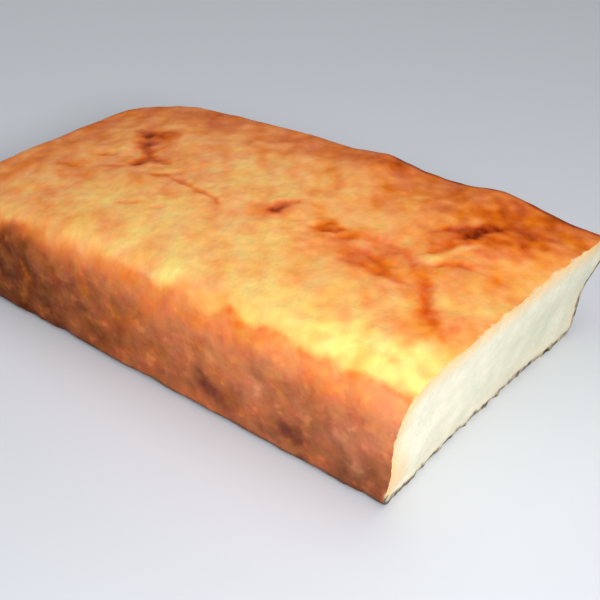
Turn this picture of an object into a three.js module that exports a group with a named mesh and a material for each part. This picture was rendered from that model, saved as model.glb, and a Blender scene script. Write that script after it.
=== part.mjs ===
// A coconut loaf cake with one end sliced off, lying on its flat base.
// Millimetres, +Z up. +X runs along the loaf to the cut face and +Y to the far side.
// The origin is the middle of the base.

import * as THREE from 'three';
import { ImprovedNoise } from 'three/addons/math/ImprovedNoise.js';
import { mergeGeometries, mergeVertices } from 'three/addons/utils/BufferGeometryUtils.js';

// Driving dimensions
const length = 196; // from the baked end to the cut
const width = 120; // across the widest part of the sides
const heightAtCut = 43;
const heightAtEnd = 27.5;
const fallPower = 2.3; // how late the top starts to drop towards the baked end
const crown = 1.4; // rise of the middle of the top over its sides
const shoulderRadius = 12.4; // round from the sides into the top
const footRadius = 4; // round from the sides into the base
const sideTaper = 3.5; // each side leans out by this much from base to shoulder, as the tin's do
const cornerRadius = 34; // the two baked corners, seen from above
const cutLean = 7; // the knife's slant: the cut's foot lies this far behind its top
const cutLeanReach = 30; // stretch of the loaf over which that slant fades out

// Mesh steps, about 3 mm apart
const straightSteps = 50;
const cornerSteps = 16;
const acrossSteps = 34;
const upSteps = 15;
const alongSteps = straightSteps + cornerSteps;

// Uneven crust: size across a lump and how far it stands out
const topLumps = { size: 13, rise: 0.55 };
const sideLumps = { size: 10, rise: 0.6 };
const wavyFoot = { size: 17, rise: 0.4 };
const crumb = { size: 6.5, rise: 0.55, reach: 5 };

// Broad swells and hollows of the top: middle, radius and rise
const swells = [
  { name: 'far rim, middle of the loaf', x: 20, y: 47, reach: 11, rise: 2 },
  { name: 'far rim, near the cut', x: 64, y: 47, reach: 13, rise: 2.1 },
  { name: 'far rim, between the two', x: 40, y: 48, reach: 14, rise: -0.7 },
  { name: 'far corner of the cut', x: 90, y: 48, reach: 12, rise: -0.8 },
  { name: 'rim of the baked end', x: -92, y: 14, reach: 26, rise: -1.1 },
  { name: 'near corner', x: 86, y: -42, reach: 20, rise: 0.9 },
  { name: 'near rim', x: 48, y: -44, reach: 22, rise: 0.7 },
  { name: 'near rim, baked end', x: -30, y: -42, reach: 24, rise: 0.8 },
  { name: 'dip at the cut', x: 98, y: 6, reach: 16, rise: -1.6 },
  { name: 'sunken middle', x: 52, y: -4, reach: 26, rise: -1.1 },
  { name: 'pinched crust', x: -50, y: 4, reach: 14, rise: -0.9 },
];

// Wrinkles where the crust folded as it set: depth, half width and the line they follow
const wrinkles = [
  { name: 'stem of the fork', depth: 1.5, half: 2.8, line: [[-64, 20], [-55, 10], [-46, 1]] },
  { name: 'fork, left', depth: 1.2, half: 2.4, line: [[-46, 1], [-47.5, -3], [-48, -8]] },
  { name: 'fork, right', depth: 1.2, half: 2.4, line: [[-46, 1], [-41, 2], [-35, 0.5]] },
  { name: 'long crease', depth: 0.9, half: 2.4, line: [[-35, -9], [-28, -7], [-16, -10], [-1, -14]] },
  { name: 'short hollow', depth: 1, half: 3, line: [[12, -5], [14, -1], [17, 3]] },
  { name: 'second hollow', depth: 0.8, half: 3.2, line: [[31, -9], [34, -3], [37, 1]] },
  { name: 'wrinkled band', depth: 1, half: 3.4, line: [[42, -7], [52, -7], [61, -8], [70, -10]] },
  { name: 'near groove', depth: 1.5, half: 2.8, line: [[70, -8], [75, -14], [79, -21], [90, -28]] },
  { name: 'arched crease', depth: 1, half: 2.4, line: [[70, -7], [72, 0], [77, 4], [82, 5]] },
  { name: 'dark hollow', depth: 1.4, half: 3.2, line: [[65, 6], [70, 17], [72, 26], [81, 35]] },
];

const cutX = length / 2;
const endX = -length / 2;
const halfWidth = width / 2;
const noise = new ImprovedNoise();

function clamp(value) {
  return Math.min(Math.max(value, 0), 1);
}

function smooth(value) {
  const t = clamp(value);
  return t * t * (3 - 2 * t);
}

function lumpAt(lumps, x, y, z) {
  return lumps.rise * noise.noise(x / lumps.size, y / lumps.size, z / lumps.size);
}

// Distance in plan from a point to the nearest stretch of a line
function distanceToLine(x, y, line) {
  let nearest = Infinity;
  for (let i = 1; i < line.length; i++) {
    const [startX, startY] = line[i - 1];
    const stepX = line[i][0] - startX;
    const stepY = line[i][1] - startY;
    const part = clamp(((x - startX) * stepX + (y - startY) * stepY) / (stepX ** 2 + stepY ** 2));
    nearest = Math.min(nearest, Math.hypot(x - startX - part * stepX, y - startY - part * stepY));
  }
  return nearest;
}

// Height of the top crust over a point of the plan
function topHeight(x, y) {
  const along = clamp((x - endX) / length);
  const across = clamp(Math.abs(y) / (halfWidth - shoulderRadius));
  let height = heightAtEnd + (heightAtCut - heightAtEnd) * (1 - (1 - along) ** fallPower);
  height += crown * (1 - across ** 2);
  for (const swell of swells) {
    const away = Math.hypot(x - swell.x, y - swell.y) / swell.reach;
    height += swell.rise * Math.exp(-(away ** 2));
  }
  for (const wrinkle of wrinkles) {
    const away = distanceToLine(x, y, wrinkle.line) / wrinkle.half;
    height -= wrinkle.depth * Math.exp(-(away ** 2));
  }
  return height + lumpAt(topLumps, x, y, 0);
}

// The side's section from the base (up = 0) over the shoulder to the top's edge (up = 1):
// how far in from the widest plan outline it is, and how high
function sideSection(up, height) {
  const footArc = (footRadius * Math.PI) / 2;
  const shoulderArc = (shoulderRadius * Math.PI) / 2;
  const flat = height - footRadius - shoulderRadius;
  const run = up * (footArc + flat + shoulderArc);
  const footTurn = (clamp(run / footArc) * Math.PI) / 2;
  const shoulderTurn = (clamp((run - footArc - flat) / shoulderArc) * Math.PI) / 2;
  const rise = Math.min(Math.max(run - footArc, 0), flat);
  const z = footRadius * (1 - Math.cos(footTurn)) + rise + shoulderRadius * Math.sin(shoulderTurn);
  let inset = footRadius * (1 - Math.sin(footTurn)) + shoulderRadius * (1 - Math.cos(shoulderTurn));
  inset += sideTaper * (1 - z / height);
  return { inset, z };
}

// The knife went through at a slant, and crumb was torn out of the face it left
function slice(point) {
  const nearCut = smooth((point.x - (cutX - cutLeanReach)) / cutLeanReach);
  const atFace = smooth((point.x - (cutX - crumb.reach)) / crumb.reach);
  point.x -= nearCut * cutLean * (1 - point.z / heightAtCut);
  point.x += atFace * lumpAt(crumb, length, point.y, point.z);
  return point;
}

// Stations along the plan outline, with their outward direction: from the cut along the near side,
// round the baked end and back along the far side
function outlineStations() {
  const near = [];
  for (let i = 0; i <= straightSteps; i++) {
    const x = cutX - ((length - cornerRadius) * i) / straightSteps;
    near.push({ x, y: -halfWidth, outX: 0, outY: -1 });
  }
  for (let i = 1; i <= cornerSteps; i++) {
    const turn = (i / cornerSteps) * (Math.PI / 2);
    const x = endX + cornerRadius * (1 - Math.sin(turn));
    const y = -halfWidth + cornerRadius * (1 - Math.cos(turn));
    near.push({ x, y, outX: -Math.sin(turn), outY: -Math.cos(turn) });
  }
  const end = [];
  for (let j = 1; j < acrossSteps; j++) {
    const y = (halfWidth - cornerRadius) * ((2 * j) / acrossSteps - 1);
    end.push({ x: endX, y, outX: -1, outY: 0 });
  }
  const far = near.map(({ x, y, outX, outY }) => ({ x, y: -y, outX, outY: -outY })).reverse();
  return [...near, ...end, ...far];
}

const stations = outlineStations();
const lastStation = stations.length - 1;

function sidePoint(station, step) {
  const { x, y, outX, outY } = stations[station];
  const edgeHeight = topHeight(x - shoulderRadius * outX, y - shoulderRadius * outY);
  const up = step / upSteps;
  const { inset, z } = sideSection(up, edgeHeight);
  const fade = 1 - smooth((up - 0.6) / 0.4);
  const bulge = fade * (lumpAt(sideLumps, x, y, z) + lumpAt(wavyFoot, x, y, length));
  const out = bulge - inset;
  return slice(new THREE.Vector3(x + out * outX, y + out * outY, z));
}

// The top is ruled from the near edge to the far one, and meets the baked end's edge
function topPoint(along, across) {
  if (across === 0) return sidePoint(along, upSteps);
  if (across === acrossSteps) return sidePoint(lastStation - along, upSteps);
  if (along === alongSteps) return sidePoint(alongSteps + across, upSteps);
  const near = stations[along];
  const nearY = near.y - shoulderRadius * near.outY;
  const x = near.x - shoulderRadius * near.outX;
  const y = nearY * (1 - (2 * across) / acrossSteps);
  return slice(new THREE.Vector3(x, y, topHeight(x, y)));
}

// The cut face spans the two side sections, the base and the top's edge. Its rows follow the
// sections at the sides and are level, and evenly spaced, a tenth of the way in.
function cutPoint(across, step) {
  if (step === upSteps) return topPoint(0, across);
  const near = sidePoint(0, step);
  const far = sidePoint(lastStation, step);
  if (across === 0) return near;
  if (across === acrossSteps) return far;
  const part = across / acrossSteps;
  const y = near.y + (far.y - near.y) * part;
  const nearLevel = near.z / sidePoint(0, upSteps).z;
  const farLevel = far.z / sidePoint(lastStation, upSteps).z;
  const sectionLevel = nearLevel + (farLevel - nearLevel) * part;
  const evenness = smooth(10 * Math.min(part, 1 - part));
  const level = sectionLevel + (step / upSteps - sectionLevel) * evenness;
  return slice(new THREE.Vector3(cutX, y, level * topPoint(0, across).z));
}

// A grid of points, facing the side where (row direction) x (column direction) points
function patch(rows, columns, pointAt) {
  const grid = new THREE.PlaneGeometry(1, 1, columns, rows);
  for (let row = 0; row <= rows; row++) {
    for (let column = 0; column <= columns; column++) {
      const point = pointAt(row, column);
      grid.attributes.position.setXYZ(row * (columns + 1) + column, point.x, point.y, point.z);
    }
  }
  return grid;
}

// The flat base, fanned out from its middle to the foot of the sides and of the cut
function base() {
  const outline = stations.map((station, index) => sidePoint(index, 0));
  for (let across = acrossSteps - 1; across > 0; across--) {
    outline.push(cutPoint(across, 0));
  }
  const fan = new THREE.CircleGeometry(1, outline.length);
  outline.push(outline[0]);
  fan.attributes.position.setXYZ(0, 0, 0, 0);
  outline.forEach((point, index) => fan.attributes.position.setXYZ(index + 1, point.x, point.y, 0));
  return fan;
}

function loafGeometry() {
  const patches = [
    patch(upSteps, lastStation, (step, station) => sidePoint(station, step)),
    patch(acrossSteps, alongSteps, (across, along) => topPoint(along, across)),
    patch(acrossSteps, upSteps, (across, step) => cutPoint(across, step)),
    base(),
  ];
  for (const surface of patches) {
    surface.deleteAttribute('normal');
    surface.deleteAttribute('uv');
  }
  const loaf = mergeVertices(mergeGeometries(patches));
  loaf.computeBoundingBox();
  const middle = loaf.boundingBox.getCenter(new THREE.Vector3());
  loaf.translate(-middle.x, -middle.y, -loaf.boundingBox.min.z);
  loaf.computeVertexNormals();
  return loaf;
}

const crust = new THREE.MeshStandardMaterial({ color: 0xe39a55, roughness: 0.6, metalness: 0 });

const cake = new THREE.Group();
const loaf = new THREE.Mesh(loafGeometry(), crust);
loaf.name = 'loaf_cake';
cake.add(loaf);

export default cake;
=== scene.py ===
# A coconut loaf cake with one end sliced off, lying on a pale floor.
# The loaf is one closed mesh: sides carried round the outline, a ruled top, a finer cut face and a flat base.
import math
from functools import partial

import bpy
import numpy as np
from mathutils import Matrix, Vector


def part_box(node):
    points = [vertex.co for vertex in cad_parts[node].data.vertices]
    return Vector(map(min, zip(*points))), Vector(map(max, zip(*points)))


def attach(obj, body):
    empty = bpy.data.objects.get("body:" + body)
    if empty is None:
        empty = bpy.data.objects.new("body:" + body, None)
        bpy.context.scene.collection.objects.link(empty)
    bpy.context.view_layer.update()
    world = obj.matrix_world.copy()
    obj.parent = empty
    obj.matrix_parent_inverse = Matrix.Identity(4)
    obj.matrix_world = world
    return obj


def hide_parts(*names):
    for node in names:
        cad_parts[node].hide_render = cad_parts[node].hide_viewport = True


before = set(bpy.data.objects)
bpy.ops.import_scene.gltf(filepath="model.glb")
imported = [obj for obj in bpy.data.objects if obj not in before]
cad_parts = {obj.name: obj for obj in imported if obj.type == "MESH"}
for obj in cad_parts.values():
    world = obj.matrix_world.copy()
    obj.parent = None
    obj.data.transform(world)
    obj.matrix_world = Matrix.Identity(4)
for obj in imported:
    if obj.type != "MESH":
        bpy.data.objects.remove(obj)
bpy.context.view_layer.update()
mm = 0.001  # metres in a millimetre; every shape below is worked out in millimetres

# The camera: where it looks from, in degrees round and above the loaf, and how far it is tilted
viewpoint = {
    "azimuth": 34.8,
    "elevation": 33.2,
    "roll": 4.1,
    "lens": 73.9,  # mm, on a sensor 36 mm wide
    "sensor": 36.0,
    "distance": 385.0,  # mm from the target
    "target": (29.6, -12.3, 20.0),
    "shift": -0.005,  # the picture's middle sits a little under the lens axis
}


def makeCamera():
    # back is the unit vector from target to camera; right and up are turned about it by the roll
    azimuth, elevation, roll = (math.radians(viewpoint[key]) for key in ("azimuth", "elevation", "roll"))
    back = Vector((
        math.sin(azimuth) * math.cos(elevation),
        -math.cos(azimuth) * math.cos(elevation),
        math.sin(elevation),
    ))
    levelRight = Vector((0, 0, 1)).cross(back).normalized()
    levelUp = back.cross(levelRight)
    right = math.cos(roll) * levelRight + math.sin(roll) * levelUp
    up = math.cos(roll) * levelUp - math.sin(roll) * levelRight
    data = bpy.data.cameras.new("camera")
    data.lens = viewpoint["lens"]
    data.sensor_width = viewpoint["sensor"]
    data.shift_y = viewpoint["shift"]
    camera = bpy.data.objects.new("camera", data)
    place = (Vector(viewpoint["target"]) + viewpoint["distance"] * back) * mm
    camera.matrix_world = Matrix.Translation(place) @ Matrix((right, up, back)).transposed().to_4x4()
    bpy.context.collection.objects.link(camera)
    bpy.context.scene.camera = camera


makeCamera()
print("camera placed")


# Small formulas shared by the shapes
tableSize = 256  # entries in a noise's table of random directions or spots
noiseGain = 1.7  # brings gradient noise to about -1 to 1


def smooth(value):
    # 0 below 0, 1 above 1, and 3t^2 - 2t^3 between
    t = np.clip(value, 0.0, 1.0)
    return t * t * (3.0 - 2.0 * t)


def fadeIn(value, start, full):
    # the same from 0 at start to 1 at full, which may lie below start
    return smooth((value - start) / (full - start))


def gain(value, amount, start, full):
    # amount, faded in from start to full
    return amount * fadeIn(value, start, full)


def between(pair, share):
    # from the pair's first value to its second as share goes from 0 to 1
    return pair[0] + (pair[1] - pair[0]) * share


def bell(distance, reach):
    # 1 at no distance, falling as exp(-(distance / reach)^2)
    return np.exp(-(distance / reach) ** 2)


def latticePick(order, corners):
    # one table entry for each lattice corner, looked up once for each of its coordinates
    key = corners & (tableSize - 1)
    pick = order[key[..., 0]]
    for axis in (1, 2):
        pick = order[(pick + key[..., axis]) & (tableSize - 1)]
    return pick


def gradientNoise(points, cell, seed):
    # Every corner of a lattice of this cell size has a random direction. The dot products of the
    # directions with the offsets from the corners are blended over the cell by 6t^5 - 15t^4 + 10t^3.
    rng = np.random.default_rng(seed)
    order = rng.permutation(tableSize)
    directions = rng.normal(size=(tableSize, 3))
    directions /= np.linalg.norm(directions, axis=1, keepdims=True)
    lattice = np.floor(points / cell).astype(int)
    part = points / cell - lattice
    fade = part ** 3 * (part * (part * 6.0 - 15.0) + 10.0)
    total = np.zeros(points.shape[:-1])
    for corner in np.ndindex(2, 2, 2):
        pick = latticePick(order, lattice + corner)
        dot = (directions[pick] * (part - corner)).sum(-1)
        total += dot * np.prod(np.where(corner, fade, 1.0 - fade), axis=-1)
    return noiseGain * total


def scatteredSpots(points, cell, seed, share, small, large):
    # One spot lies at random in each lattice cell, kept with the chance share, with a random radius
    # from small to large. The result is 1 in a spot's middle, falling as (1 - d^2 / r^2)^2 to 0 at its rim.
    rng = np.random.default_rng(seed)
    order = rng.permutation(tableSize)
    place = rng.random((tableSize, 3))
    radius = small + (large - small) * rng.random(tableSize) ** 2
    kept = rng.random(tableSize) < share
    lattice = np.floor(points / cell).astype(int)
    strongest = np.zeros(points.shape[:-1])
    for step in np.ndindex(3, 3, 3):
        home = lattice + step - 1
        pick = latticePick(order, home)
        away = np.linalg.norm(points - (home + place[pick]) * cell, axis=-1) / radius[pick]
        height = kept[pick] * np.clip(1.0 - away ** 2, 0.0, 1.0) ** 2
        strongest = np.maximum(strongest, height)
    return strongest


def nearestOnLine(x, y, line):
    # For each point the least plan distance to the line, the share of the line's length where that
    # nearest place lies, and the side that the point is on: 1 to the line's left, -1 to its right
    stretches = list(zip(line[:-1], line[1:]))
    lengths = [math.dist(start, stop) for start, stop in stretches]
    nearest = np.full(np.shape(x), np.inf)
    share, side = np.zeros(np.shape(x)), np.zeros(np.shape(x))
    passed = 0.0
    for (start, stop), stretch in zip(stretches, lengths):
        alongX, alongY = (stop[0] - start[0]) / stretch, (stop[1] - start[1]) / stretch
        along = np.clip((x - start[0]) * alongX + (y - start[1]) * alongY, 0.0, stretch)
        offX, offY = x - start[0] - along * alongX, y - start[1] - along * alongY
        away = np.hypot(offX, offY)
        closer = away < nearest
        nearest = np.where(closer, away, nearest)
        share = np.where(closer, (passed + along) / sum(lengths), share)
        side = np.where(closer, np.sign(alongX * offY - alongY * offX), side)
        passed += stretch
    return nearest, share, side


# The loaf's form, in millimetres
loaf = {
    "length": 196.0,  # baked end to cut
    "width": 120.0,
    "heightAtCut": 43.0,
    "heightAtEnd": 27.5,
    "fallPower": 2.3,  # how late the top starts to drop towards the baked end
    "crown": 1.4,
    "shoulder": 12.4,  # radius from side to top
    "foot": 4.0,  # radius from side to base
    "taper": 3.5,  # how much further in the base is than the shoulder
    "corner": 34.0,  # radius of the baked corners seen from above
    "straightSteps": 188,
    "cornerSteps": 50,
    "acrossSteps": 140,
    "upSteps": 46,
    "cutFineness": 2,  # fine steps on the cut for each step of its border
}

# Broad swells and hollows of the top: x, y, reach and rise
swells = {
    "farRimMiddle": (20, 47, 11, 2.0),
    "farRimNearCut": (64, 47, 13, 2.1),
    "farRimBetween": (40, 48, 14, -0.7),
    "farCornerOfCut": (90, 48, 12, -0.8),
    "rimOfBakedEnd": (-92, 14, 26, -1.1),
    "nearCorner": (86, -42, 20, 0.9),
    "nearRim": (48, -44, 22, 0.7),
    "nearRimBakedEnd": (-30, -42, 24, 0.8),
    "dipAtCut": (98, 6, 16, -1.6),
    "sunkenMiddle": (52, -4, 26, -1.1),
    "pinchedCrust": (-50, 4, 14, -0.9),
}

# The line along which the middle of the top is wrinkled all over
wrinkledMiddle = [(-60, 10), (-45, -2), (-15, -9), (15, -3), (45, -8), (70, -4), (74, 22)]

# Wrinkles where the crust folded as it set. Each has the plan line that it follows, its depth and
# half width, how much browner and redder it is than the crust round it, and the side of its lip: 1 is
# to the line's left, -1 to its right.
wrinkles = {
    "forkStem": ([(-68, 24), (-62, 18), (-57, 12), (-52, 8), (-47, 3)], 0.5, 2.4, 0.42, 0.25, -1),
    "forkMiddle": ([(-62, 17), (-56, 11), (-50, 6)], 0.3, 1.5, 0.24, 0.2, -1),
    "forkLeft": ([(-46, 4), (-47, 0), (-47, -6)], 0.7, 1.8, 0.44, 0.1, -1),
    "forkRight": ([(-48, 4), (-42, 3), (-36, 1)], 0.7, 1.8, 0.44, 0.3, -1),
    "creaseStart": ([(-36, -9), (-31, -6)], 0.4, 1.2, 0.32, 0.0, 1),
    "longCrease": (
        [(-32, -6), (-28, -7), (-20, -9), (-13, -10), (-6, -11), (-3, -13)],
        0.5, 0.85, 0.34, 0.0, 1),
    "leftFold": ([(-66, -5), (-58, -1)], 0.3, 1.2, 0.16, 0.1, -1),
    "shortHollow": ([(11, -7), (14, -4), (14, 0), (17, 5)], 0.7, 1.4, 0.5, 0.45, 1),
    "smallFold": ([(28, -8), (31, -3), (34, 1)], 0.5, 1.0, 0.2, 0.4, 1),
    "smallFoldTwo": ([(32, -6), (36, -4), (38, 0)], 0.5, 0.9, 0.26, 0.4, -1),
    "bandFold": ([(44, -9), (50, -8), (57, -10), (63, -9)], 0.3, 1.1, 0.1, 0.7, 1),
    "bandUpper": ([(34, -9), (40, -5), (47, 0), (54, 0), (61, -3), (69, -9)], 0.4, 1.5, 0.08, 0.7, 1),
    "bandLower": ([(46, -16), (54, -15), (63, -16), (70, -16)], 0.3, 1.5, 0.1, 0.7, -1),
    "nearGroove": ([(70, -8), (74, -13), (77, -19), (80, -25)], 0.9, 1.4, 0.13, 1.0, 1),
    "grooveFoot": ([(79, -23), (82, -27), (87, -29)], 0.4, 2.1, 0.16, 1.0, 1),
    "archedCrease": ([(69, -5), (72, 1), (76, 4), (82, 4)], 0.6, 1.1, 0.2, 0.5, 1),
    "hollowLeft": ([(64, 3), (67, 9), (69, 14)], 0.6, 1.4, 0.22, 0.8, -1),
    "darkHollow": ([(67, 16), (69, 21), (71, 26), (75, 31)], 0.7, 1.8, 0.27, 1.0, -1),
    "hollowRight": ([(75, 31), (84, 35), (90, 38)], 0.2, 1.8, 0.1, 0.5, -1),
    "hollowUpper": ([(60, 16), (64, 21), (69, 26)], 0.3, 1.3, 0.16, 0.7, 1),
    "leftStreak": ([(-72, -19), (-67, -17), (-62, -17)], 0.4, 1.3, 0.28, 0.1, 1),
    "leftStreakTwo": ([(-57, -12), (-48, -7)], 0.3, 1.0, 0.2, 0.2, 1),
    "nearStreak": ([(-30, -31), (-24, -26)], 0.3, 0.9, 0.22, 0.1, 1),
    "nearStreakTwo": ([(-19, -28), (-15, -25)], 0.2, 0.9, 0.2, 0.1, 1),
}

# How every wrinkle is pressed in and coloured; reaches are in half widths
wrinkling = {
    "wander": [(8.0, 0.9), (2.7, 0.5)],  # size of the bends in its line and how far they stray, mm
    "breaks": [(6.5, 0.7), (2.6, 0.4)],  # size of its uneven stretches and how uneven they are
    "widthBreaks": 0.35,
    "depthBreaks": 0.6,
    "deepest": 1.25,  # most that the breaks deepen it
    "narrowing": 0.6,  # share of its width that is lost at both ends
    "depth": 0.6,  # share of its depth that shows in the fine relief
    "lip": 0.55,  # height of the lip, as a share of the depth
    "lipAt": 2.4,
    "lipReach": 1.3,
    "lipEnds": 0.2,  # share of the length over which the lip rises
    # painted highlight: the lip is drawn paler by this much
    "paintedLipHighlight": 0.3,
    "core": (0.7, 1.3),  # share and reach of the browning in the groove
    "halo": (0.3, 3.0),  # and round it
    "redReach": 2.0,
    "darkest": 0.5,  # most that wrinkles brown the crust
}

length, width = loaf["length"], loaf["width"]
cutX, endX, halfWidth = length / 2, -length / 2, width / 2
shoulder = loaf["shoulder"]
alongSteps = loaf["straightSteps"] + loaf["cornerSteps"]


def topHeight(x, y):
    # height rises from the baked end as 1 - (1 - t)^fallPower, crowned across as 1 - (y / inner)^2,
    # with a bell for each swell
    along = np.clip((x - endX) / length, 0.0, 1.0)
    across = np.clip(np.abs(y) / (halfWidth - shoulder), 0.0, 1.0)
    rise = loaf["heightAtCut"] - loaf["heightAtEnd"]
    height = loaf["heightAtEnd"] + rise * (1.0 - (1.0 - along) ** loaf["fallPower"])
    height = height + loaf["crown"] * (1.0 - across ** 2)
    for swellX, swellY, reach, swellRise in swells.values():
        height = height + swellRise * bell(np.hypot(x - swellX, y - swellY), reach)
    return height


def sideSection(up, height):
    # A quarter round foot, a straight side and a quarter round shoulder, run through at an even pace
    # from up = 0 to 1; the straight side leans in by taper towards the base.
    foot = loaf["foot"]
    footArc, shoulderArc = foot * math.pi / 2, shoulder * math.pi / 2
    flat = height - foot - shoulder
    run = up * (footArc + flat + shoulderArc)
    footTurn = np.clip(run / footArc, 0.0, 1.0) * math.pi / 2
    shoulderTurn = np.clip((run - footArc - flat) / shoulderArc, 0.0, 1.0) * math.pi / 2
    rise = np.clip(run - footArc, 0.0, flat)
    z = foot * (1.0 - np.cos(footTurn)) + rise + shoulder * np.sin(shoulderTurn)
    inset = foot * (1.0 - np.sin(footTurn)) + shoulder * (1.0 - np.cos(shoulderTurn))
    return inset + loaf["taper"] * (1.0 - z / height), z


def outline():
    # Plan stations and outward directions: a straight near side, a quarter circle, the straight
    # baked end, and the first two mirrored for the far side.
    corner = loaf["corner"]
    straight = np.linspace(0.0, 1.0, loaf["straightSteps"] + 1)
    turn = np.linspace(0.0, math.pi / 2, loaf["cornerSteps"] + 1)[1:]
    x = np.concatenate([cutX - (length - corner) * straight, endX + corner * (1.0 - np.sin(turn))])
    y = np.concatenate([np.full(straight.shape, -halfWidth), -halfWidth + corner * (1.0 - np.cos(turn))])
    outX = np.concatenate([np.zeros(straight.shape), -np.sin(turn)])
    outY = np.concatenate([np.full(straight.shape, -1.0), -np.cos(turn)])
    endY = np.linspace(-1.0, 1.0, loaf["acrossSteps"] + 1)[1:-1] * (halfWidth - corner)
    return (
        np.concatenate([x, np.full(endY.shape, endX), x[::-1]]),
        np.concatenate([y, endY, -y[::-1]]),
        np.concatenate([outX, np.full(endY.shape, -1.0), outX[::-1]]),
        np.concatenate([outY, np.zeros(endY.shape), -outY[::-1]]),
    )


def gridQuads(index):
    # four corners for each cell of a grid of vertex numbers, turned row x column
    return np.stack([index[:-1, :-1], index[1:, :-1], index[1:, 1:], index[:-1, 1:]], -1).reshape(-1, 4)


def crustForm():
    # Sides: the section carried round the outline. Top: each near station joined to the far one by a
    # straight row with z = topHeight. They share the vertices of the shoulder's edge.
    x, y, outX, outY = outline()
    edgeHeight = topHeight(x - shoulder * outX, y - shoulder * outY)
    up = np.linspace(0.0, 1.0, loaf["upSteps"] + 1)
    inset, z = sideSection(up[None, :], edgeHeight[:, None])
    sides = np.stack([x[:, None] - inset * outX[:, None], y[:, None] - inset * outY[:, None], z], -1)
    sideIndex = np.arange(sides.shape[0] * sides.shape[1]).reshape(sides.shape[:2])
    share = np.linspace(0.0, 1.0, loaf["acrossSteps"] + 1)[None, 1:-1, None]
    near = sides[:alongSteps, None, -1]
    far = sides[::-1][:alongSteps, None, -1]
    inner = near * (1.0 - share) + far * share
    inner[..., 2] = topHeight(inner[..., 0], inner[..., 1])
    topIndex = np.empty((alongSteps + 1, loaf["acrossSteps"] + 1), int)
    topIndex[:-1, 1:-1] = sideIndex.size + np.arange(inner.shape[0] * inner.shape[1]).reshape(inner.shape[:2])
    topIndex[:, 0] = sideIndex[: alongSteps + 1, -1]
    topIndex[:, -1] = sideIndex[::-1][: alongSteps + 1, -1]
    topIndex[-1] = sideIndex[alongSteps : alongSteps + loaf["acrossSteps"] + 1, -1]
    points = np.concatenate([sides.reshape(-1, 3), inner.reshape(-1, 3)])
    quads = np.concatenate([gridQuads(sideIndex.T), gridQuads(topIndex.T)])
    return points, quads, sideIndex, topIndex


def topNormals(x, y):
    # upright normals of z = topHeight, from its slopes over one millimetre
    slopeX = topHeight(x + 0.5, y) - topHeight(x - 0.5, y)
    slopeY = topHeight(x, y + 0.5) - topHeight(x, y - 0.5)
    normals = np.stack([-slopeX, -slopeY, np.ones_like(x)], -1)
    return normals / np.linalg.norm(normals, axis=-1, keepdims=True)


def vertexNormals(points, quads):
    # the sum of the cross products of each quad's diagonals, scaled to length 1
    cross = np.cross(points[quads[:, 2]] - points[quads[:, 0]], points[quads[:, 3]] - points[quads[:, 1]])
    normals = np.zeros_like(points)
    for corner in range(4):
        np.add.at(normals, quads[:, corner], cross)
    return normals / np.linalg.norm(normals, axis=1, keepdims=True)


# Fine relief of the crust: size of a lump and how far it stands out, in millimetres
crust = {
    "topLumps": [(15.0, 0.4), (6.0, 0.22), (3.4, 0.08)],
    "sideLumps": [(11.0, 0.4), (4.6, 0.28)],
    "topFrom": (0.25, 0.75),  # upward part of the normal where the sides' relief gives way to the top's
    "stretch": 1.3,  # the top's lumps are this much longer along the stretched direction
    "stretchTurn": 125.0,  # that direction, in degrees from +X
    "blisters": dict(cell=7.0, share=0.4, small=1.0, large=2.6, rise=0.3),
    "pits": dict(cell=6.0, share=0.6, small=1.6, large=3.0, depth=0.45),
    # fine folds of the skin along the wrinkled middle
    "folds": dict(size=4.4, rise=0.35, reach=14.0, warp=[(9.0, 1.2)], crest=0.5),
    "scorchWander": [(4.0, 1.6)],
    "scorchDepth": 0.5,
    "seed": 11,
}

# Deep brown pits low on the near side: x, z, radius and strength
scorches = {
    "middle": (29.6, 12.2, 3.2, 0.8),
    "middleTail": (34.4, 9.6, 2.8, 0.6),
    "middleFoot": (38.0, 6.0, 2.6, 0.35),
    "right": (59.0, 10.5, 3.0, 0.75),
    "rightTail": (63.6, 8.8, 3.0, 0.6),
    "underRight": (55.0, 6.4, 2.4, 0.5),
}


def scorchMarks(points):
    # a bell round each pit low on the near side, its place wandering by noise
    x, y, z = points.T
    wander = lumps(points, crust["scorchWander"], crust["seed"] + 40)
    marks = np.zeros(x.shape)
    for scorchX, scorchZ, radius, strength in scorches.values():
        marks += strength * bell(np.hypot(x + wander - scorchX, z - wander - scorchZ), radius) * (y < 0)
    return marks


def lumps(points, sizes, seed):
    # the sum of gradient noises, each as high as its rise
    return sum(rise * gradientNoise(points, size, seed + i) for i, (size, rise) in enumerate(sizes))


def skinPoints(points):
    # the points turned so that the stretched direction is the first axis, and shrunk along it
    turn = math.radians(crust["stretchTurn"])
    x, y, z = points.T
    along = (x * math.cos(turn) + y * math.sin(turn)) / crust["stretch"]
    return np.stack([along, y * math.cos(turn) - x * math.sin(turn), z], -1)


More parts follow.
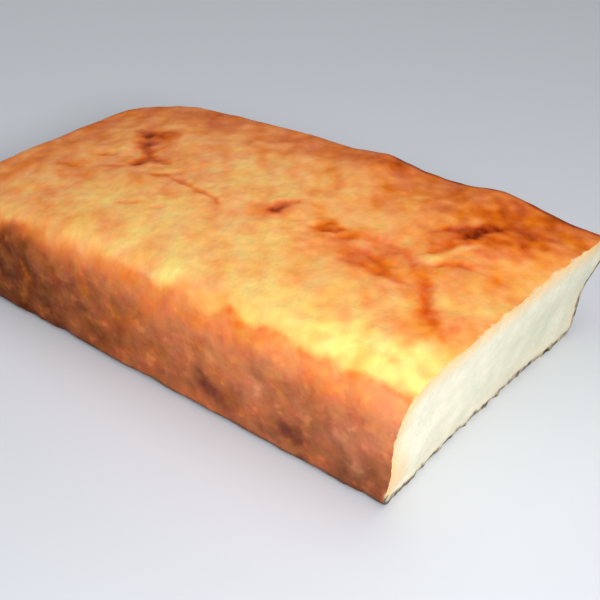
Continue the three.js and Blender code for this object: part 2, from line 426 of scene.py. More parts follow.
def wrinkleMarks(points):
    # Each wrinkle is a groove, exp(-(distance / half)^2), that narrows to its ends and breaks up by
    # noise, with a lip beside it. Its browning is a little wider than the groove, its redness wider still,
    # and its lip is painted paler, a painted highlight where the raised lip would catch the light.
    # Where marks meet, their browning b adds up to darkest (1 - exp(-b / darkest)).
    x, y = points[:, 0], points[:, 1]
    seed = crust["seed"]
    wanderX = lumps(points, wrinkling["wander"], seed + 10)
    wanderY = lumps(points, wrinkling["wander"], seed + 12)
    breaks = lumps(points, wrinkling["breaks"], seed + 14)
    coreShare, coreReach = wrinkling["core"]
    haloShare, haloReach = wrinkling["halo"]
    relief, brown, red = np.zeros((3,) + x.shape)
    for line, depth, halfWidthOfLine, browner, redder, lipSide in wrinkles.values():
        away, share, side = nearestOnLine(x + wanderX, y + wanderY, line)
        narrowing = 1.0 - wrinkling["narrowing"] * (2.0 * share - 1.0) ** 4
        half = halfWidthOfLine * narrowing * (1.0 + wrinkling["widthBreaks"] * breaks)
        strength = narrowing * np.clip(1.0 + wrinkling["depthBreaks"] * breaks, 0.0, wrinkling["deepest"])
        lip = smooth(share / wrinkling["lipEnds"]) * smooth((1.0 - share) / wrinkling["lipEnds"])
        lip = lip * (side == lipSide) * wrinkling["lip"]
        lip = lip * bell(away - wrinkling["lipAt"] * half, wrinkling["lipReach"] * half)
        relief += wrinkling["depth"] * depth * strength * (lip - bell(away, half))
        mark = coreShare * bell(away, coreReach * half) + haloShare * bell(away, haloReach * half)
        brown += browner * strength * (mark - wrinkling["paintedLipHighlight"] * lip)
        red = np.maximum(red, redder * strength * bell(away, wrinkling["redReach"] * half))
    darkest = wrinkling["darkest"]
    return relief, darkest * (1.0 - np.exp(-brown / darkest)), np.clip(red, 0.0, 1.0)


def crustRelief(points, normals, grooves):
    # Height over the smooth form along its normal: lumps and blisters on the top, lumps and pits on
    # the sides, the wrinkles' grooves, and fine folds along the wrinkled middle.
    x, y, z = points.T
    seed = crust["seed"]
    facingUp = fadeIn(normals[:, 2], *crust["topFrom"])
    blisters, pits, folds = crust["blisters"], crust["pits"], crust["folds"]
    skin = skinPoints(points)
    top = grooves + lumps(skin, crust["topLumps"], seed)
    top += blisters["rise"] * scatteredSpots(
        skin, blisters["cell"], seed + 7, blisters["share"], blisters["small"], blisters["large"])
    warped = skin + lumps(skin, folds["warp"], seed + 8)[:, None]
    ridge = folds["crest"] - np.abs(gradientNoise(warped, folds["size"], seed + 9))
    away = nearestOnLine(x, y, wrinkledMiddle)[0]
    top += folds["rise"] * ridge * bell(away, folds["reach"])
    side = lumps(points, crust["sideLumps"], seed + 20)
    side -= pits["depth"] * scatteredSpots(
        points, pits["cell"], seed + 27, pits["share"], pits["small"], pits["large"])
    side -= crust["scorchDepth"] * scorchMarks(points)
    return facingUp * top + (1.0 - facingUp) * side


# How far the crust has browned: 0 is butter yellow, 0.5 amber, 1 burnt. Some gains are painted shade
# instead: in the hollows, along the foot, and in part towards the baked end. Three numbers are a gain of
# browning and the places in mm where it starts and is full, and two are such places alone.
baking = {
    "top": 0.4,
    "farRim": (0.2, 12, 60),  # by y, browner towards the far side
    "nearRim": (-0.13, -14, -48),  # by y, paler along the near side
    "nearRimAlong": (-70, 50),  # by x, towards the cut
    "bakedEnd": (0.1, -20, -90),  # by x, browner towards the baked end, partly baked so and partly painted shade where the light falls off
    "blotches": [(19.0, 0.1), (8.0, 0.13), (4.2, 0.1)],
    "hollows": -0.1,  # painted shade: browning for each millimetre of relief, darker in the hollows and paler on the lumps
    "evening": 0.4,  # share of the browning above and below these that is evened out
    "evenAbove": 0.62,
    "evenBelow": 0.3,
    "evenFrom": (-44, -28),  # by y: the near rim stays yellow
    "rimDrop": 2.4,  # mm below the shoulder's edge where the top's colour starts to turn
    "rimFade": 4.0,  # mm over which it turns by the cut
    "rimFadeEnd": (0.5, 30, -50),  # by x, and half as much again by the baked end
    "rimGlow": 0.11,  # browning that the top gains over glowDrop
    "rimGlowEnd": (0.14, 40, -20),  # by x, and more of it away from the cut
    "glowDrop": (0, 6),
    "farEdge": (0.34, 0.05, 0.5),  # by the drop, a brown line along the far edge
    "farEdgeAcross": (30, 50),
    "farEdgeAlong": (-10, 30),
    "rimWaves": [(13.0, 2.4), (6.5, 1.4)],  # how far the line between top and side wanders
    "rimWavesFrom": (0, 3),
    "sideRim": 0.11,
    "sideMiddle": 0.5,
    "sideFoot": 0.6,
    "sideMiddleFrom": (2, 16),  # by the distance below the rim
    "sideFootFrom": (24, 8),  # by z
    "sideFootAtCut": (0.16, 20, 80),  # by x
    "paintedFootShade": (0.42, 3.2, 1.0),  # by z, painted shade along the last millimetres above the floor
    "sideEnd": (0.33, 40, -70),  # by x, the sides are browner towards the baked end, partly baked so and partly painted shade
    "rimEnd": (0.34, 30, -60),  # by x, and more so at their rim, likewise partly painted shade
    "farSideRim": (0.5, 0, 20),  # by y
    "rimBrownUntil": (18, 4),  # by the distance below the rim
    "sideBlotches": [(14.0, 0.08), (6.0, 0.1)],
    "scorches": 0.15,
    "patchWander": [(9.0, 2.5)],
    "patchBreaks": [(4.0, 0.7)],
    "seed": 41,
}

# Patches of the top that baked differently from the rest, and painted highlights, pale and pink spots
# where the crust's folds would catch the light: x, y, reach along and across, turn in degrees, browning
# and redness
patches = {
    "paleNearCorner": (88, -48, 15, 9, 0, -0.22, 0.0),
    "paleNearRimA": (41, -54, 7, 4, 10, -0.16, 0.0),
    "paleNearRimB": (56, -54, 7, 4, 10, -0.16, 0.0),
    "paleNearRimC": (70, -50, 9, 5, 20, -0.18, 0.0),
    "paleNearRimD": (12, -53, 7, 4, 10, -0.14, 0.0),
    # painted highlights by the folds
    "highlightByFork": (-34, -4, 3, 1.4, 35, -0.24, 0.4),
    "highlightByCrease": (-16, -6, 6, 1.6, 5, -0.14, 0.5),
    "highlightLeftFold": (-57, -9, 4, 1.6, 35, -0.14, 0.5),
    "highlightStreak": (-29, -24, 6, 2, 30, -0.12, 0.5),
    "highlightByArch": (68, 1, 3, 1.8, 50, -0.2, 0.0),
    "highlightByHollow": (72, 12, 4, 1.6, 60, -0.3, 0.4),
    "redByFork": (-57, 19, 5, 4, 35, 0.14, 0.7),
    "paleLeftOfFork": (-68, 6, 10, 8, 0, -0.08, 0.15),
    "paleNearRimLeft": (-50, -53, 16, 7, 0, -0.1, 0.0),
    "redBand": (55, -8, 20, 9, -4, 0.08, 0.8),
    "redByHollow": (69, 14, 14, 8, 60, 0.05, 0.6),
    "redFarCorner": (78, 24, 24, 18, 10, 0.0, 0.2),
    "redRightOfGroove": (86, 5, 10, 7, 10, 0.0, 0.45),
    "pinkUnderHollow": (79, 12, 11, 6, 45, 0.02, 0.6),
    "redFolds": (34, -5, 9, 6, 20, 0.1, 0.6),
    "redByShortHollow": (15, -4, 6, 4.5, 40, 0.2, 0.6),
    # painted highlight, pink, under the dark hollow
    "pinkHighlightByHollow": (71.5, 13, 5, 1.8, 60, -0.2, 0.9),
    "redGrooveEnd": (83, -27, 4.5, 3.5, 0, 0.06, 0.85),
    "amberRoundGroove": (89, -31, 9, 6, 40, 0.24, 0.3),
    "goldNearCut": (89, -15, 9, 7, 10, -0.2, 0.0),
    "amberNearCut": (93, -24, 6, 4, 20, 0.05, 0.2),
    "goldMiddle": (44, 14, 14, 7, 35, -0.13, 0.4),
    "goldNearLeft": (-44, -32, 26, 12, 0, -0.15, 0.0),
    "goldNearMiddle": (6, -26, 28, 14, 10, -0.11, 0.0),
    "goldCentre": (8, 8, 24, 14, 10, -0.05, 0.0),
    "amberCentreLeft": (-52, 2, 22, 14, 10, 0.05, 0.0),
    "goldFarMiddle": (-4, 14, 18, 9, 35, -0.06, 0.0),
    "brownFarCorner": (84, 36, 20, 15, 20, 0.16, 0.0),
    "brownByHollow": (71, 22, 10, 6, 50, 0.24, 0.6),
    "brownRightOfHollow": (82, 25, 9, 6, 45, 0.2, 0.4),
    "brownFarQuarter": (56, 28, 22, 15, 10, 0.15, 0.0),
    "brownFarRim": (62, 46, 26, 9, 0, 0.12, 0.0),
    "brownFarRimLeft": (-48, 46, 30, 10, 0, 0.08, 0.0),
    "brownFarRimMiddle": (14, 46, 24, 7, 0, 0.14, 0.15),
    "brownEndRim": (-88, 10, 8, 26, 0, 0.12, 0.0),
}


def patchMarks(points):
    # each patch is exp(-(u / along)^2 - (v / across)^2) in its own turned axes, broken up by noise
    x, y = points[:, 0], points[:, 1]
    wander = lumps(points, baking["patchWander"], baking["seed"] + 30)
    breaks = 1.0 + lumps(points, baking["patchBreaks"], baking["seed"] + 31)
    brown, red = np.zeros(x.shape), np.zeros(x.shape)
    for patchX, patchY, along, across, turn, shade, redness in patches.values():
        turn = math.radians(turn)
        stepX, stepY = x + wander - patchX, y - wander - patchY
        u = (stepX * math.cos(turn) + stepY * math.sin(turn)) / along
        v = (stepY * math.cos(turn) - stepX * math.sin(turn)) / across
        amount = bell(np.hypot(u, v), 1.0) * breaks
        brown += shade * amount
        red = np.maximum(red, redness * amount)
    return brown, np.clip(red, 0.0, 1.0)


def browningAndPaintedLight(points, relief, wrinkleBrown, wrinkleRed):
    # The top's shade is its level, patches, some of them painted highlights, blotches and gains across,
    # along and down it, evened out where it is pale or brown, and then wrinkles with their painted lip
    # highlights. Below the shoulder's edge the top gives way to the side along a wavering line, and the side
    # runs from an orange rim to a brown foot, with painted shade along the foot and, on top of real
    # browning, towards the baked end. Painted shade darkens the hollows of the relief and pales its lumps.
    x, y, z = points.T
    seed = baking["seed"]
    patchBrown, patchRed = patchMarks(points)
    top = baking["top"] + patchBrown + lumps(skinPoints(points), baking["blotches"], seed)
    top += gain(y, *baking["farRim"])
    top += gain(y, *baking["nearRim"]) * fadeIn(x, *baking["nearRimAlong"])
    # browner towards the baked end, in part painted shade where the light falls off
    top += gain(x, *baking["bakedEnd"])
    drop = topHeight(x, y) - z
    top += (baking["rimGlow"] + gain(x, *baking["rimGlowEnd"])) * fadeIn(drop, *baking["glowDrop"])
    farEdge = fadeIn(y, *baking["farEdgeAcross"]) * fadeIn(x, *baking["farEdgeAlong"])
    top += gain(drop, *baking["farEdge"]) * farEdge
    tooPale = np.clip(baking["evenBelow"] - top, 0.0, None) * fadeIn(y, *baking["evenFrom"])
    top += baking["evening"] * tooPale
    top += wrinkleBrown - baking["evening"] * np.clip(top - baking["evenAbove"], 0.0, None)
    waves = fadeIn(drop, *baking["rimWavesFrom"]) * lumps(points, baking["rimWaves"], seed + 10)
    rim = drop - baking["rimDrop"] + waves
    topness = 1.0 - smooth(rim / (baking["rimFade"] * (1.0 + gain(x, *baking["rimFadeEnd"]))))
    middle = baking["sideMiddle"]
    side = between((baking["sideRim"], middle), fadeIn(rim, *baking["sideMiddleFrom"]))
    foot = baking["sideFoot"] + gain(x, *baking["sideFootAtCut"])
    side += (foot - middle) * fadeIn(z, *baking["sideFootFrom"])
    # painted shade along the foot; towards the baked end the sides are browner, partly painted shade where
    # the light falls off
    side += gain(z, *baking["paintedFootShade"]) + gain(x, *baking["sideEnd"])
    # towards the baked end this is partly painted shade; along the far side it is browning
    rimBrownAndShade = np.maximum(gain(x, *baking["rimEnd"]), gain(y, *baking["farSideRim"]))
    side += rimBrownAndShade * fadeIn(rim, *baking["rimBrownUntil"])
    side += lumps(points, baking["sideBlotches"], seed + 20)
    scorched = scorchMarks(points)
    side += baking["scorches"] * scorched
    # painted shade: darker in the hollows of the relief, paler on its lumps
    shade = between((side, top), topness) + baking["hollows"] * relief
    red = between((scorched, np.maximum(patchRed, wrinkleRed)), topness)
    return np.clip(shade, 0.0, 1.0), np.clip(red, 0.0, 1.0), topness


# The knife's face: how it leans, its torn crumb and its pores, in millimetres. Starts and full hold
# the near side's value and then the far side's.
cut = {
    "lean": 7.0,  # how far the foot lies behind the top
    "leanReach": 30.0,  # the lean has faded out this far behind the face
    "farFrom": (-20, 20),  # by y, from the near to the far values
    # how far its upper part stands forward of the lean, and more so towards the far side
    "upper": dict(forward=1.0, moreFar=(1.2, 5, 45), starts=(18.0, 12.0), rise=22.0),
    # how far its foot stands forward, and more so by the two sides
    "lower": dict(forward=0.5, moreEnds=(1.5, 20, 55), starts=(28.0, 20.0), full=(12.0, 0.0)),
    "tearing": dict(size=8.0, rise=0.22, reach=4.0),
    # small notches of the rim, none by the foot and the far corner
    "edgeNotches": dict(size=4.2, rise=0.8, above=(0, 8), nearer=(56, 50)),
    "footCrumbs": dict(size=4.0, rise=1.2, height=3.0),
    "grain": [(9.0, 0.06), (3.4, 0.03)],
    "pores": dict(cell=4.4, share=0.4, small=0.8, large=1.5, depth=0.22),
    "reliefFrom": (0.2, 1.2),  # depth from the crust where the crumb's grain starts and is full
    "rimReach": 2.5,  # how far the rim's notches and crumbs reach back into the crust
    "rimDepth": 1.0,  # and how far into the face
    "inset": 0.3,  # step from the border to the fine grid
    "evenWithin": 0.1,  # share of the width over which the grid's rows turn even
    "tornPlane": 5.0,  # x of the planes that its noises are read on
    "poresPlane": 3.0,
    "seed": 71,
}


def onPlane(points, x):
    # the points moved to one x, so that a noise depends on y and z alone
    return np.stack([np.full(len(points), x), points[:, 1], points[:, 2]], -1)


def sliceOff(points, byRim):
    # The knife leans: x shifts back by lean (1 - z / height), fading out behind the face, and the upper
    # part and the foot stand a little forward of that. The face is torn by noise over y and z. By the
    # rim, where byRim is 1, it is notched more finely, and small crumbs of the foot stand out.
    x, y, z = points.T
    upper, lower, tearing = cut["upper"], cut["lower"], cut["tearing"]
    notches, crumbs = cut["edgeNotches"], cut["footCrumbs"]
    nearCut = fadeIn(x, cutX - cut["leanReach"], cutX)
    far = fadeIn(y, *cut["farFrom"])
    shift = -nearCut * cut["lean"] * (1.0 - z / loaf["heightAtCut"])
    forward = upper["forward"] + gain(y, *upper["moreFar"])
    shift += nearCut * forward * smooth((z - between(upper["starts"], far)) / upper["rise"])
    forward = lower["forward"] + gain(np.abs(y), *lower["moreEnds"])
    shift += nearCut * forward * fadeIn(z, between(lower["starts"], far), between(lower["full"], far))
    plane = onPlane(points, cut["tornPlane"])
    atFace = fadeIn(x, cutX - tearing["reach"], cutX)
    shift += atFace * tearing["rise"] * gradientNoise(plane, tearing["size"], cut["seed"])
    notch = np.clip(gradientNoise(plane, notches["size"], cut["seed"] + 1), 0.0, 1.0)
    shift -= byRim * notches["rise"] * notch * fadeIn(z, *notches["above"]) * fadeIn(y, *notches["nearer"])
    crumb = np.clip(gradientNoise(plane, crumbs["size"], cut["seed"] + 2), 0.0, 1.0)
    shift += byRim * crumbs["rise"] * crumb * fadeIn(z, crumbs["height"], 0.0)
    return points + np.stack([shift, np.zeros(x.shape), np.zeros(x.shape)], -1)


def alongCurve(curve, t):
    # the curve's points read at the shares t of its steps, with straight stretches between
    steps = np.linspace(0.0, 1.0, len(curve))
    return np.stack([np.interp(t, steps, curve[:, axis]) for axis in range(3)], -1)


def cutForm(points, sideIndex, topIndex, paintedFootShade):
    # A Coons patch over the four border curves: the two linear blends of opposite borders, less the
    # bilinear blend of the corners. Its rows follow the side sections at the border and are evenly
    # spaced further in.
    fine = cut["inset"] / width
    columns = loaf["acrossSteps"] * loaf["cutFineness"] + 1
    rows = loaf["upSteps"] * loaf["cutFineness"] + 1
    u, v = np.meshgrid(
        np.linspace(fine, 1 - fine, columns), np.linspace(2 * fine, 1 - fine, rows), indexing="ij")
    near, far, rim = points[sideIndex[0]], points[sideIndex[-1]], points[topIndex[0]]
    level = np.interp(v, near[:, 2] / near[-1, 2], np.linspace(0.0, 1.0, len(near)))
    v = v + (level - v) * smooth(np.minimum(u, 1.0 - u) / cut["evenWithin"])
    u3, v3 = u[..., None], v[..., None]
    across = (1 - u3) * alongCurve(near, v) + u3 * alongCurve(far, v)
    upward = (1 - v3) * alongCurve(paintedFootShade, u) + v3 * alongCurve(rim, u)
    corners = (1 - u3) * ((1 - v3) * near[0] + v3 * near[-1]) + u3 * ((1 - v3) * far[0] + v3 * far[-1])
    return across + upward - corners


def distanceToBorder(points, border):
    # the least distance in y and z from each point to any vertex of the border, in batches
    batches = 200
    nearest = [
        np.sqrt(((batch[:, None, 1:] - border[None, :, 1:]) ** 2).sum(-1).min(1))
        for batch in np.array_split(points, batches)
    ]
    return np.concatenate(nearest)


def crumbRelief(points, depth):
    # grain noise less scattered pores, fading in over the first millimetre from the crust
    holes = cut["pores"]
    plane = onPlane(points, cut["poresPlane"])
    pores = holes["depth"] * scatteredSpots(
        plane, holes["cell"], cut["seed"] + 5, holes["share"], holes["small"], holes["large"])
    grain = lumps(plane, cut["grain"], cut["seed"] + 10)
    return (grain - pores) * fadeIn(depth, *cut["reliefFrom"]), pores


# The baked line round the crumb: how dark it is, with the places in mm where each part starts and is
# full, and how many times thicker it grows
rind = {
    "nearSide": (0.45, -48, -56),  # by y, more down the near side
    "nearSideBelow": (36, 24),  # by z
    "farSide": (0.9, 49, 55),
    "farSideBelow": (40, 32),
    "foot": (8, 3),
    "nearFootThicker": (2.0, -44, -56),  # by y
    "nearFootBelow": (24, 6),
    "footThicker": 0.9,
    "footBelow": (5, 2),
    "farThicker": (2.6, 0.7),  # up the far side, and along the far half of the foot
    "farEdge": (52, 57),
    "farHalf": (0, 30),
}


def rindShade(points):
    # how dark the baked line round the crumb is: 0 along the top, more down the near side, 1 along the
    # foot and nearly so up the far side
    x, y, z = points.T
    nearSide = gain(y, *rind["nearSide"]) * fadeIn(z, *rind["nearSideBelow"])
    farSide = gain(y, *rind["farSide"]) * fadeIn(z, *rind["farSideBelow"])
    return np.maximum(np.maximum(nearSide, farSide), fadeIn(z, *rind["foot"]))


def rindThickness(points):
    # how many times its least thickness the line has: 1 along the top, more by the near foot, along the
    # foot and up the far side
    x, y, z = points.T
    nearFoot = gain(y, *rind["nearFootThicker"]) * fadeIn(z, *rind["nearFootBelow"])
    alongFoot = fadeIn(z, *rind["footBelow"])
    far = np.maximum(fadeIn(y, *rind["farEdge"]), alongFoot * fadeIn(y, *rind["farHalf"]))
    return 1.0 + nearFoot + rind["footThicker"] * alongFoot + between(rind["farThicker"], alongFoot) * far


def ringFaces(outer, inner, fineness):
    # Each border step is joined to as many fine steps as lie behind it: a fan from its first vertex
    # to half of them, one triangle to its second vertex, and a fan from there to the rest.
    faces = []
    start, stop = outer, np.roll(outer, -1)
    fineStep = [np.roll(inner, -k)[::fineness] for k in range(fineness + 1)]
    half = fineness // 2
    for k in range(fineness):
        pivot = start if k <= half else stop
        faces.append(np.stack([pivot, fineStep[k + 1], fineStep[k]], -1))
    faces.append(np.stack([start, stop, fineStep[half + 1]], -1))
    return np.concatenate(faces)


def borderLoop(grid):
    # the grid's border once round: along the first row's side, up, back and down
    return np.concatenate([grid[:-1, 0], grid[-1, :-1], grid[:0:-1, -1], grid[0, :0:-1]])


def makeLoaf():
    points, quads, sideIndex, topIndex = crustForm()
    normals = vertexNormals(points, quads)
    # the top's rows crowd together at the baked end, so its normals come from its formula
    onTop = np.unique(topIndex)
    normals[onTop] = topNormals(points[onTop, 0], points[onTop, 1])
    grooves, wrinkleBrown, wrinkleRed = wrinkleMarks(points)
    relief = crustRelief(points, normals, grooves)
    shade, red, topness = browningAndPaintedLight(points, relief, wrinkleBrown, wrinkleRed)
    fromCut = cutX - points[:, 0]
    grounded = sideIndex[:, 0]
    push = relief[:, None] * normals
    push[grounded, 2] = 0.0
    surface = points + push
    surface[:, 2] = np.maximum(surface[:, 2], 0.0)

    # the foot of the cut, between the two sides
    share = np.linspace(0.0, 1.0, loaf["acrossSteps"] + 1)[1:-1, None]
    footPoints = surface[sideIndex[0, 0]] * (1 - share) + surface[sideIndex[-1, 0]] * share
    footIndex = len(surface) + np.arange(len(footPoints))
    paintedFootShade = np.concatenate([surface[sideIndex[:1, 0]], footPoints, surface[sideIndex[-1:, 0]]])

    face = cutForm(surface, sideIndex, topIndex, paintedFootShade)
    faceIndex = len(surface) + len(footPoints) + np.arange(face[..., 0].size).reshape(face.shape[:2])
    border = np.empty((loaf["acrossSteps"] + 1, loaf["upSteps"] + 1), int)
    border[1:-1, 0] = footIndex
    border[0], border[-1], border[:, -1] = sideIndex[0], sideIndex[-1], topIndex[0]
    outer = borderLoop(border)
    inner = borderLoop(faceIndex)
    shell = np.concatenate([surface, footPoints])
    facePoints = face.reshape(-1, 3)
    depth = distanceToBorder(facePoints, shell[outer])
    grounded = np.concatenate([grounded, footIndex])
    shell = sliceOff(shell, smooth(1.0 - (cutX - shell[:, 0]) / cut["rimReach"]))
    shell[grounded, 2] = 0.0
    facePoints = sliceOff(facePoints, np.exp(-depth / cut["rimDepth"]))
    crumb, pores = crumbRelief(facePoints, depth)
    facePoints[:, 0] += crumb
    rindDepth = depth / rindThickness(facePoints)
    middle = np.array([[0.0, 0.0, 0.0]])
    allPoints = np.concatenate([shell, facePoints, middle])

    # the base, fanned out from its middle
    baseLoop = np.concatenate([sideIndex[:, 0], footIndex[::-1]])
    base = np.stack([np.full(baseLoop.shape, len(allPoints) - 1), baseLoop, np.roll(baseLoop, -1)], -1)
    ring = ringFaces(outer, inner, loaf["cutFineness"])
    faceQuads = gridQuads(faceIndex)

    added, faceCount = len(footPoints), len(facePoints)
    fields = {
        "browningAndPaintedLight": [shade, np.full(added, baking["sideFoot"]), np.zeros(faceCount), [baking["sideFoot"]]],
        "redness": [red, np.zeros(added + faceCount + 1)],
        "topness": [topness, np.zeros(added + faceCount + 1)],
        "cutDistance": [fromCut, np.zeros(added + faceCount), [cutX]],
        "crumbDepth": [np.zeros(len(surface) + added), rindDepth, [0.0]],
        "poreDepth": [np.zeros(len(surface) + added), pores, [0.0]],
        "rindShade": [rindShade(np.concatenate([surface, footPoints, facePoints])), [1.0]],
    }
    fields = {name: np.concatenate(parts) for name, parts in fields.items()}
    return allPoints, [quads, faceQuads, ring, base], [0, 1, 1, 0], fields, outer


def makeMesh(name, points, faceGroups, groupMaterials, fields, sharpLoop):
    mesh = bpy.data.meshes.new(name)
    faces = sum((group.tolist() for group in faceGroups), [])
    mesh.from_pydata((points * mm).tolist(), [], faces)
    materialOfFace = np.concatenate([np.full(len(g), m) for g, m in zip(faceGroups, groupMaterials)])
    mesh.polygons.foreach_set("material_index", materialOfFace.astype(np.int32))
    mesh.polygons.foreach_set("use_smooth", np.ones(len(faces), bool))
    for field, values in fields.items():
        mesh.attributes.new(field, "FLOAT", "POINT").data.foreach_set("value", values.astype(np.float32))
    # the rim of the cut stays a sharp edge
    ends = np.empty(len(mesh.edges) * 2, np.int32)
    mesh.edges.foreach_get("vertices", ends)
    onRim = np.zeros(len(points), bool)
    onRim[sharpLoop] = True
    sharp = mesh.attributes.new("sharp_edge", "BOOLEAN", "EDGE")
    sharp.data.foreach_set("value", onRim[ends.reshape(-1, 2)].all(1))
    mesh.update()
    piece = bpy.data.objects.new(name, mesh)
    bpy.context.collection.objects.link(piece)
    return piece


points, faceGroups, groupMaterials, fields, rimLoop = makeLoaf()
# the baked end lies where the solid's does, and the sides are centred on the solid's
solidLow, solidHigh = (np.array(corner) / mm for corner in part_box("loaf_cake"))
shiftX = solidLow[0] - points[:, 0].min()
shiftY = (solidLow[1] + solidHigh[1] - points[:, 1].min() - points[:, 1].max()) / 2
points = points + (shiftX, shiftY, 0.0)
cake = makeMesh("loaf", points, faceGroups, groupMaterials, fields, rimLoop)
print("loaf made:", len(points), "vertices,", sum(len(g) * (g.shape[1] - 2) for g in faceGroups), "triangles")


# Materials
multiplyAdd = dict(operation="MULTIPLY_ADD")  # first input x second + third
colourMix = dict(data_type="RGBA", out=2)  # from colour in6 to colour in7


def linear(hexColour):
    # an sRGB hex colour as linear red, green, blue and alpha
    parts = [int(hexColour[i : i + 2], 16) / 255 for i in (1, 3, 5)]
    return tuple(p / 12.92 if p <= 0.04045 else ((p + 0.055) / 1.055) ** 2.4 for p in parts) + (1.0,)


def addNode(tree, kind, *inputs, out=0, stops=(), **named):
    # One node with its settings and links; the result is its output out. Inputs in a row go to its first
    # sockets, in6 to socket 6, and a name with a capital to the socket of that name; other names are
    # settings. A value that is an output is linked. Stops are the places and hex colours of a ramp.
    # A MapRange goes from 0 at its first number to 1 at its second.
    node = tree.nodes.new("ShaderNode" + kind)
    sockets = dict(enumerate(inputs))
    for name, value in named.items():
        if name[0].isupper():
            sockets[name.replace("_", " ")] = value
        elif name[:2] == "in" and name[2:].isdigit():
            sockets[int(name[2:])] = value
        else:
            setattr(node, name, value)
    for key, value in sockets.items():
        if isinstance(value, bpy.types.NodeSocket):
            tree.links.new(value, node.inputs[key])
        else:
            node.inputs[key].default_value = value
    for number, (place, colour) in enumerate(stops):
        elements = node.color_ramp.elements
        element = elements[number] if number < len(elements) else elements.new(place)
        element.position, element.color = place, linear(colour)
    return node.outputs[out] if node.outputs else node


def newMaterial(name):
    # the material, and addNode for its own tree
    material = bpy.data.materials.new(name)
    material.use_nodes = True
    material.node_tree.nodes.clear()
    return material, partial(addNode, material.node_tree)


def waves(sizeInMm, detail, roughness):
    # a noise's settings, for lumps that are this many millimetres across
    return dict(Scale=1.0 / (sizeInMm * mm), Detail=detail, Roughness=roughness)


# Baked crust: a dry skin of set batter, browned by the oven. It reads as matt with a faint sheen,
# butter yellow where it stayed pale, amber and russet where it browned, and freckled all over. Noises
# are a size in mm, detail and roughness; of two values for side and top the first is the side's.
bakedCrust = {
    "topShades": [
        (0.0, "#ffed8a"), (0.14, "#ffd77a"), (0.3, "#ffbc6a"), (0.45, "#fda358"),
        (0.6, "#ee863e"), (0.75, "#d2652a"), (0.88, "#a54616"), (1.0, "#64260c")],
    "sideShades": [
        (0.0, "#fb9038"), (0.16, "#f07e36"), (0.36, "#e27d46"), (0.55, "#c56a3a"),
        (0.7, "#ab5a31"), (0.85, "#8a4622"), (1.0, "#642c12")],
    "redShades": [
        (0.0, "#ffb88c"), (0.2, "#fda26c"), (0.4, "#f58846"), (0.55, "#ea6e30"),
        (0.7, "#d6581c"), (0.85, "#b2400e"), (1.0, "#7c2604")],
    "scorchShade": "#6e2824",
    "freckle": (2.2, 1.5, 0.5),
    "freckles": (0.16, 0.08),  # side, top
    "redFreckles": 0.3,  # how much stronger freckles are where the crust is red
    "freckleLight": 0.3,  # how much they brighten and darken the top
    "mottle": (5.0, 2.5, 0.6),
    "mottleDepth": 0.27,
    "speck": (4.0, 2.0, 0.5),  # pale specks on the sides
    "speckFrom": (0.54, 0.8),
    "speckLift": -0.24,
    "drift": (9.0, 2.5, 0.65),  # slow swings in the strength of the colour
    "driftOffset": (0.3, 0.1, 0.2),  # m, keeps them apart from the mottling
    "strengthDrift": 0.2,
    "hueWaves": (5.0, 4.0, 0.6),
    "hueDrift": (0.045, -0.02),  # swing of the sides' hue and its start
    "hueWithStrength": 0.06,  # where the top's colour is weak it is pinker
    "cutReach": 100.0,  # mm over which the sides grow pinker and the top richer towards the cut
    "strengthAtCut": (-0.065, 0.03),  # side, top
    "rimShade": "#f07736",  # the line between the top and the sides, a redder orange
    "rimShare": 2.5,
    "rimMottle": 3.0,  # how strongly the mottling breaks that line up
    "rimPale": (0.8, 0.55),  # browning above which it is gone, and below which it is full
    "rimReach": (190.0, 60.0),  # mm from the cut where it starts and is full
    "torn": (3.2, 2.0, 0.5),  # the chips along the cut
    "tornReach": (4.0, 5.0),  # mm, side, top
    "tornStart": -2.6,  # mm, keeps all but the largest off the crust
    "tornEdge": (-0.6, 1.0),  # mm
    "roughness": 0.5,
    "ior": 1.42,
    "sheen": 0.06,
    "topSheen": 0.22,  # more of it on the top
    "sheenFades": (0.95, 0.5),  # browning at which that is gone, and at which it is full
    "bump": dict(Strength=0.4, Distance=0.0005),  # m
    "bumpMottle": 1.5,
}


